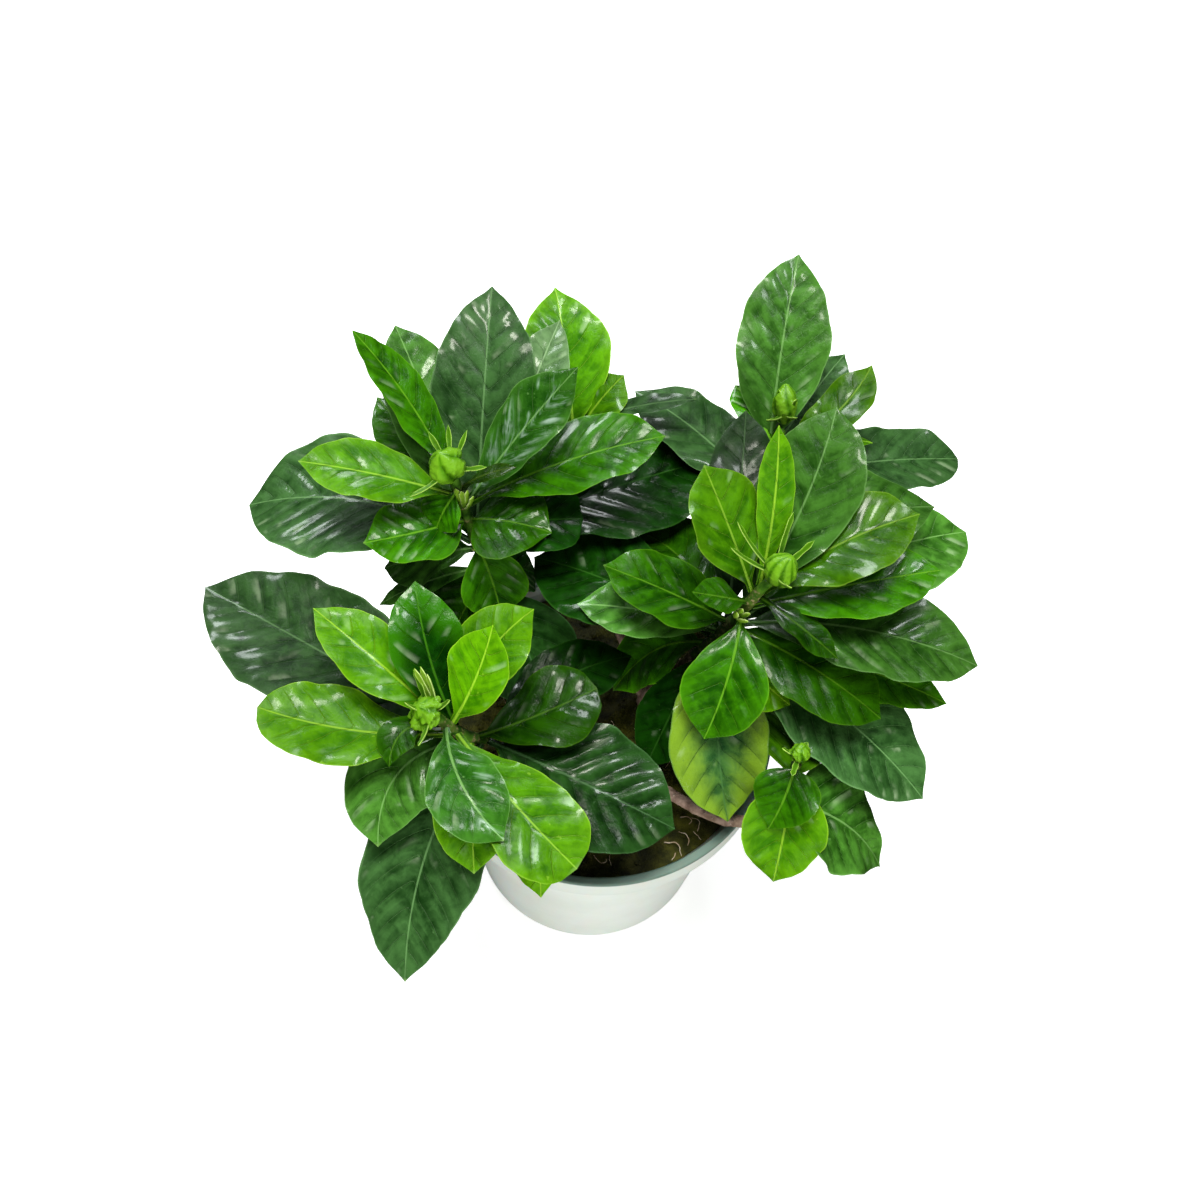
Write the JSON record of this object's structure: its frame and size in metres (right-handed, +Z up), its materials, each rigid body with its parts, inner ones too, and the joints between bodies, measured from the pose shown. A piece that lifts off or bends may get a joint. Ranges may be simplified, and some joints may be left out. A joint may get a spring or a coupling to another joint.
{
  "type": "potted gardenia",
  "caption": "Evergreen shrub with glossy ribbed leaves in whorls round fat green flower buds, growing from soil in a round tapered plastic pot with a hanging lip.",
  "frame": {"origin": "middle of the pot's flat base, on the surface that the pot stands on", "axes": "+Z up along the pot's axis; -Y towards the side with the small low shoot and the bare rim; +X to the right of that side, where the densest shoot is"},
  "size_m": [0.2607, 0.2329, 0.2141],
  "materials": {
    "pot": "off-white moulded plastic with a soft sheen and a grey-green top edge",
    "soil": "moist dark brown potting mix with crumbs and pale rootlets",
    "wood": "rough pinkish brown bark with leaf scars",
    "old_leaf": "waxy dark green, quilted between pale sunken veins",
    "young_leaf": "waxy bright green, quilted between pale sunken veins",
    "bud": "satin yellow-green, softly ribbed"
  },
  "bodies": {
    "root": {"pot": "pot", "soil": "soil", "woody_stem_left": "wood", "woody_stem_right": "wood", "woody_stem_front": "wood", "shoot_a_old_leaves": "old_leaf", "shoot_a_young_leaves": "young_leaf", "shoot_b_old_leaves": "old_leaf", "shoot_b_young_leaves": "young_leaf", "shoot_c_old_leaves": "old_leaf", "shoot_c_young_leaves": "young_leaf", "shoot_d_old_leaves": "old_leaf", "shoot_d_young_leaves": "young_leaf", "shoot_e_old_leaves": "old_leaf", "shoot_e_young_leaves": "young_leaf", "shoot_f_young_leaves": "young_leaf", "flower_bud_a": "bud", "flower_bud_b": "bud", "flower_bud_c": "bud", "flower_bud_d": "bud", "flower_bud_e": "bud"}
  },
  "joints": []
}
